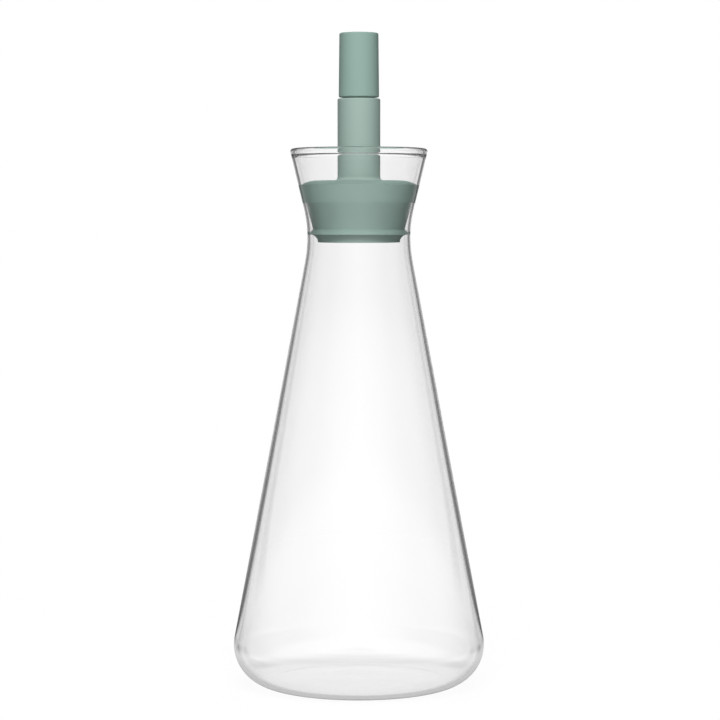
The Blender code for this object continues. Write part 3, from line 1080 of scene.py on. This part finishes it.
    def build(self, palette: Palette, effects: Effects) -> None:
        """Turns the stopper's pieces and dresses them.

        Args:
            palette: The finishes.
            effects: The shared node groups and materials.
        """
        shank_ring = self.bottom + self.shank_ring_rise
        cap_ring = self.sleeve_top + self.cap_ring_rise
        work = (
            (self.build_skirt(), palette.plug, "plug_skirt"),
            (self.build_core(), palette.inner, "plug_core"),
            (self.build_tube(), palette.inner, "pour_tube"),
            (self.build_ring("lower_seal_ring", shank_ring), palette.seal, "shank_o_ring"),
            (self.build_ring("upper_seal_ring", cap_ring), palette.seal, "cap_o_ring"),
            (self.build_disc(), palette.natural, "metering_insert"),
            (self.build_breather(), palette.natural, "breather_tube"),
            (self.build_sleeve(), palette.stem, "stem_sleeve"),
        )
        for piece, finish, node in work:
            dress(piece, finish, effects, Body.STOPPER, node)


@dataclass
class Cap:
    """The pull-off cap on the pour tube, with its liner."""

    stopper: Stopper
    setback: float = 0.0004
    draft: float = 0.00022
    top_edge: float = 0.0005
    foot_edge: float = 0.0004
    bore_edge: float = 0.0002
    edge_steps: int = 8
    bore_edge_steps: int = 4
    ring_tolerance: float = 0.001
    stub_length: float = 0.0016
    stub_edge: float = 0.0004

    def build_shell(self) -> Piece:
        """The cap's shell: a drafted cylinder, hollowed from below and rounded at its edges.

        Returns:
            The finished piece.
        """
        low = self.stopper.cap_bottom
        high = low + self.stopper.cap_length
        foot = self.stopper.stem_radius - self.setback
        head = foot - self.draft
        bore = self.stopper.bore
        clear_bench()
        bpy.ops.mesh.primitive_cylinder_add(
            vertices=Sides.STEM.value, radius=foot, depth=high - low, location=(0.0, 0.0, (low + high) / 2)
        )
        shell = begin("cap_body")
        pick(shell, Kind.FACES, lambda co: co.z > high - WELD)
        bpy.ops.transform.resize(value=(head / foot, head / foot, 1.0), center_override=(0.0, 0.0, high))
        pick(shell, Kind.FACES, lambda co: co.z < low + WELD)
        bpy.ops.mesh.inset(thickness=foot - bore, depth=0.0)
        hollow = (0.0, 0.0, self.stopper.cap_underside - low)
        bpy.ops.mesh.extrude_region_move(TRANSFORM_OT_translate={"value": hollow})
        self.round_edge(shell, Corner(head, high, self.top_edge), self.edge_steps)
        self.round_edge(shell, Corner(foot, low, self.foot_edge), self.edge_steps)
        self.round_edge(shell, Corner(bore, low, self.bore_edge), self.bore_edge_steps)
        pick(shell, Kind.FACES, lambda co: co.z > high - WELD)
        bpy.ops.mesh.inset(thickness=HOLDING_DISTANCE, depth=0.0)
        for height in (low + 2 * self.foot_edge, high - 2 * self.top_edge):
            bpy.ops.mesh.select_all(action="SELECT")
            bpy.ops.mesh.bisect(plane_co=(0.0, 0.0, height), plane_no=UPWARDS)
        return finished(shell)

    def round_edge(self, shell: Piece, corner: Corner, steps: int) -> None:
        """Rounds one ring of edges.

        Args:
            shell: The piece that is open for editing.
            corner: The ring's radius and height, and the size of its rounding.
            steps: Number of faces across it.
        """

        def on_ring(middle: Vector) -> bool:
            """Whether an edge's middle lies on the ring."""
            beside = abs(middle.xy.length - corner.radius)
            return abs(middle.z - corner.height) < WELD and beside < corner.radius * self.ring_tolerance

        pick(shell, Kind.EDGES, on_ring)
        bpy.ops.mesh.bevel(offset=corner.rounding, segments=steps, profile=0.5)

    def build_liner(self) -> Piece:
        """The liner under the cap's roof, with a stub that enters the tube's mouth.

        Returns:
            The finished piece.
        """
        stopper = self.stopper
        top = stopper.cap_underside - stopper.fit
        low = top - stopper.seal_thickness
        stub = stopper.tube_radius - stopper.tube_wall - stopper.fit
        wide = stopper.bore - stopper.fit
        return turned("cap_liner", [
            Corner(0.0, top),
            Corner(wide, top, FINE_EDGE),
            Corner(wide, low, SMALL_EDGE),
            Corner(stub, low, SMALL_EDGE),
            Corner(stub, low - self.stub_length, self.stub_edge),
            Corner(0.0, low - self.stub_length),
        ], Sides.SMALL, closed=False)

    def build(self, palette: Palette, effects: Effects) -> None:
        """Makes the cap's pieces and dresses them."""
        dress(self.build_shell(), palette.cap, effects, Body.CAP, "cap_shell")
        dress(self.build_liner(), palette.seal, effects, Body.CAP, "cap_seal")


# Studio


@dataclass(frozen=True)
class Lamp:
    """A soft rectangular lamp: where it stands, its width and height, and its power in watts."""

    name: str
    spot: Triple
    size: Span
    power: float

    def build(self, aim_height: float) -> None:
        """Sets the lamp up, unseen in the glass.

        Args:
            aim_height: Height on the axis that it is turned to.
        """
        bpy.ops.object.light_add(type="AREA", location=self.spot)
        lamp = bpy.context.object
        lamp.name = self.name
        lamp.data.shape = "RECTANGLE"
        lamp.data.size = self.size[0]
        lamp.data.size_y = self.size[1]
        lamp.data.energy = self.power
        aim = Vector((0.0, 0.0, aim_height)) - Vector(self.spot)
        lamp.rotation_euler = aim.to_track_quat("-Z", "Y").to_euler()
        lamp.visible_glossy = False
        lamp.visible_transmission = False


@dataclass
class Studio:
    """The floor, the surroundings, the lamps and the camera."""

    image_width: float = 720.0
    focal_pixels: float = 2486.1
    sensor: float = 36.0
    distance: float = 0.820
    eye_height: float = 0.1549
    eye_shift: float = 0.00036
    pitch: float = math.radians(3.284)
    floor_size: float = 8.0
    floor_cuts: int = 3
    floor_gap: float = 0.0002
    floor_glow: float = 0.915
    floor_share: float = 0.12
    shadow_reach: Span = (0.10, 0.40)
    # painted shadow: where the glass looks onto it, the floor under the flask is darker, from the base's edge
    # inwards
    painted_under_shadow_reach: Span = (0.040, 0.058)
    painted_under_shadow_levels: Span = (0.78, 1.00)
    # painted light: where the glass looks onto it, the floor near the object glows a little brighter than
    # white
    painted_glass_glow_reach: Span = (0.80, 4.00)
    painted_glass_glow_levels: Span = (1.06, 1.00)
    # painted shadow: in reflections the floor is darker close to the object, fading out over the next reach
    painted_contact_shadow_reach: Span = (0.02, 0.12)
    painted_contact_shadow_levels: Span = (0.55, 0.85)
    painted_contact_shadow_fade: Span = (0.06, 0.14)
    # painted shade: in reflections the floor in front of the object is dimmer
    painted_front_shade_reach: Span = (-0.20, 0.0)
    painted_front_shade_levels: Span = (0.55, 1.0)
    fill: Span = (0.03, 0.30)
    floor_fill: Span = (0.0, 1.0)
    floor_fill_reach: Span = (0.6, 1.0)
    fill_reach: Span = (0.2, 1.0)
    fill_direction: Triple = (-0.05, -0.95, 0.10)
    overhead_reach: Span = (0.42, 0.70)
    overhead_light: float = 0.9
    surround: Sequence[Span] = (
        (0.0, 1.0),
        (10.0, 0.95),
        (13.0, 0.62),
        (18.0, 0.30),
        (31.0, 0.08),
        (32.5, 0.70),
        (40.0, 0.60),
        (52.0, 0.22),
        (65.0, 0.08),
        (118.0, 0.10),
        (148.0, 0.50),
        (180.0, 0.76),
    )
    aim_height: float = 0.16
    lamps: Sequence[Lamp] = (
        Lamp("key_lamp", (-0.03, -1.05, 0.98), (0.7, 0.4), 10.6),
        Lamp("back_lamp", (0.20, 1.05, 0.70), (0.7, 0.4), 6.0),
        Lamp("top_lamp", (-0.10, -0.50, 1.20), (0.8, 0.8), 2.3),
    )

    def surround_group(self) -> bpy.types.NodeTree:
        """What polished surfaces reflect: bright panels behind, at the sides and in front.

        Returns:
            A node group that puts out a brightness for a direction.
        """
        work = GroupWork("studio_surround", {"Direction": AXIS_FOOT}, ("Brightness",))
        parts = work.add("ShaderNodeSeparateXYZ", {0: work.given["Direction"]}).outputs
        turn = work.math("ARCTAN2", parts["X"], parts["Y"])
        half_turns = work.math("DIVIDE", work.math("ABSOLUTE", turn, 0.0), math.pi)
        ramp = work.add("ShaderNodeValToRGB", {0: half_turns})
        stops = ramp.color_ramp.elements
        while len(stops) < len(self.surround):
            stops.new(0.5)
        for stop, (angle, light) in zip(stops, self.surround):
            stop.position = angle / 180.0
            stop.color = grey(light)
        steepness = work.math("ABSOLUTE", parts["Z"], 0.0)
        overhead = work.spread(steepness, self.overhead_reach, (0.0, 1.0))
        return work.close({"Brightness": work.blend(overhead, ramp.outputs[0], self.overhead_light)})

    def ray_kinds(self, work: NodeWork) -> tuple[Socket, Socket, Socket]:
        """Whether a ray comes from the camera, off a shiny surface, or off a dull one.

        Args:
            work: The tree that it is built in.

        Returns:
            One where it does and nothing where it doesn't, for each of the three.
        """
        path = work.add("ShaderNodeLightPath").outputs
        mirrored = work.math("MINIMUM", path["Glossy Depth"], 1.0)
        return path["Is Camera Ray"], mirrored, work.math("MINIMUM", path["Diffuse Depth"], 1.0)

    def front_light(self, work: NodeWork, direction: Socket, reach: Span, levels: Span) -> Socket:
        """Soft light that comes mostly from the front.

        Args:
            work: The tree that it is built in.
            direction: Where the light comes from.
            reach: How far round it spreads, as the cosines of its widest and its narrowest angle.
            levels: Its strength outside the widest angle, and straight from the front.

        Returns:
            The strength for that direction.
        """
        unit = work.add("ShaderNodeVectorMath", {0: direction}, operation="NORMALIZE").outputs[0]
        front = Vector(self.fill_direction).normalized()
        towards = work.add("ShaderNodeVectorMath", {0: front, 1: unit}, operation="DOT_PRODUCT")
        return work.spread(towards.outputs["Value"], reach, levels)

    def build_world(self, surround: bpy.types.NodeTree) -> None:
        """The surroundings: white to look at, also through the glass, panels in reflections, a soft fill.

        Args:
            surround: The node group of the surroundings.
        """
        world = bpy.data.worlds.new("studio")
        world.use_nodes = True
        bpy.context.scene.world = world
        work = NodeWork(world.node_tree)
        direction = work.add("ShaderNodeTexCoord").outputs["Generated"]
        mirrored, scattered = self.ray_kinds(work)[1:]
        reflected = work.add("ShaderNodeGroup", node_tree=surround)
        work.fill(reflected.inputs, {"Direction": direction})
        seen = work.blend(mirrored, 1.0, reflected.outputs["Brightness"])
        fill = self.front_light(work, direction, self.fill_reach, self.fill)
        strength = work.blend(scattered, seen, fill)
        work.fill(work.tree.nodes["Background"].inputs, {"Color": grey(1.0), "Strength": strength})

    def floor_material(self, surround: bpy.types.NodeTree) -> Material:
        """The white floor, which keeps a soft shadow near the object.

        It also carries painted shade: a painted shadow under the flask and a painted glow beyond white where
        the glass looks onto it, and a painted contact shadow and a dimmer front in reflections.

        Args:
            surround: The node group of the surroundings.

        Returns:
            The material.
        """
        material, work = new_material("floor_white")
        work.tree.nodes.clear()
        spot = work.add("ShaderNodeTexCoord").outputs["Object"]
        ahead = work.add("ShaderNodeSeparateXYZ", {0: spot}).outputs["Y"]
        away = work.add("ShaderNodeVectorMath", {0: spot}, operation="LENGTH").outputs["Value"]
        camera, mirrored, scattered = self.ray_kinds(work)

        lit = work.add("ShaderNodeBsdfDiffuse", {"Color": grey(self.floor_share)})
        # painted shadow: rays that come through the glass see a dimmer floor under the flask; camera rays
        # don't
        under = work.spread(away, self.painted_under_shadow_reach, self.painted_under_shadow_levels)
        # painted shadow under the flask plus the painted glow that rays through the glass see; camera rays
        # get neither
        painted_shadow_and_glow = work.math("ADD", under, self.painted_glass_glow_levels[0] - 2.0)
        painted_shadow_and_glow = work.blend(camera, painted_shadow_and_glow, 0.0)
        glow = work.glow(work.math("ADD", painted_shadow_and_glow, self.floor_glow))
        shaded = work.add("ShaderNodeAddShader", {0: lit.outputs[0], 1: glow.outputs[0]})
        # painted light: rays through the glass see the floor brighter than white near the object; camera rays
        # see plain white
        through = work.spread(away, self.painted_glass_glow_reach, self.painted_glass_glow_levels)
        plain = work.glow(work.blend(camera, through, 1.0))
        near = work.spread(away, self.shadow_reach, (1.0, 0.0))
        seen = work.mix(near, plain, shaded)

        # painted shade: in reflections the floor glows with the surround's brightness for its bearing, dimmer
        # in front of the object
        reflected = work.add("ShaderNodeGroup", {"Direction": spot}, node_tree=surround)
        front = work.spread(ahead, self.painted_front_shade_reach, self.painted_front_shade_levels)
        mirror = work.math("MULTIPLY", front, reflected.outputs["Brightness"])
        # painted shadow: in reflections the floor near the object is darkened, fading into the surround's
        # brightness further out
        close = work.spread(away, self.painted_contact_shadow_reach, self.painted_contact_shadow_levels)
        far = work.spread(away, self.painted_contact_shadow_fade, (0.0, 1.0))
        seen = work.mix(mirrored, seen, work.glow(work.blend(far, close, mirror)))

        bounce = work.glow(self.front_light(work, spot, self.floor_fill_reach, self.floor_fill))
        seen = work.mix(scattered, seen, bounce)
        work.add("ShaderNodeOutputMaterial", {"Surface": seen.outputs[0]})
        return material

    def build_floor(self, surround: bpy.types.NodeTree) -> None:
        """Lays the floor just under the flask.

        Args:
            surround: The node group of the surroundings.
        """
        clear_bench()
        bpy.ops.mesh.primitive_plane_add(size=self.floor_size, location=(0.0, 0.0, -self.floor_gap))
        floor = begin("studio_floor")
        bpy.ops.mesh.select_all(action="SELECT")
        bpy.ops.mesh.subdivide(number_cuts=self.floor_cuts)
        bpy.ops.object.mode_set(mode="OBJECT")
        floor.data.materials.append(self.floor_material(surround))

    def build_camera(self) -> None:
        """Sets up the camera in front of the object, a little above its mouth."""
        bpy.ops.object.camera_add(
            location=(self.eye_shift, -self.distance, self.eye_height),
            rotation=(math.pi / 2 - self.pitch, 0.0, 0.0),
        )
        camera = bpy.context.object
        camera.name = "studio_camera"
        camera.data.sensor_width = self.sensor
        camera.data.lens = self.focal_pixels / self.image_width * self.sensor
        camera.data.clip_end = 2 * self.floor_size
        bpy.context.scene.camera = camera

    def build(self) -> None:
        """Sets up the whole studio."""
        bpy.context.scene.view_settings.view_transform = "Standard"
        surround = self.surround_group()
        self.build_world(surround)
        self.build_floor(surround)
        for lamp in self.lamps:
            lamp.build(self.aim_height)
        self.build_camera()
        LOG.info("studio: floor, surroundings, %d lamps and camera", len(self.lamps))


def main() -> None:
    """Builds the flask, the stopper in its mouth, the cap on the stem and the studio around them."""
    logging.basicConfig(level=logging.INFO, format="%(name)s: %(message)s")
    effects = Effects()
    palette = Palette()
    flask = Flask()
    stopper = Stopper(flask)
    cap = Cap(stopper)
    for assembly in (flask, stopper, cap):
        assembly.build(palette, effects)
    Studio().build()


if __name__ == "__main__":
    main()
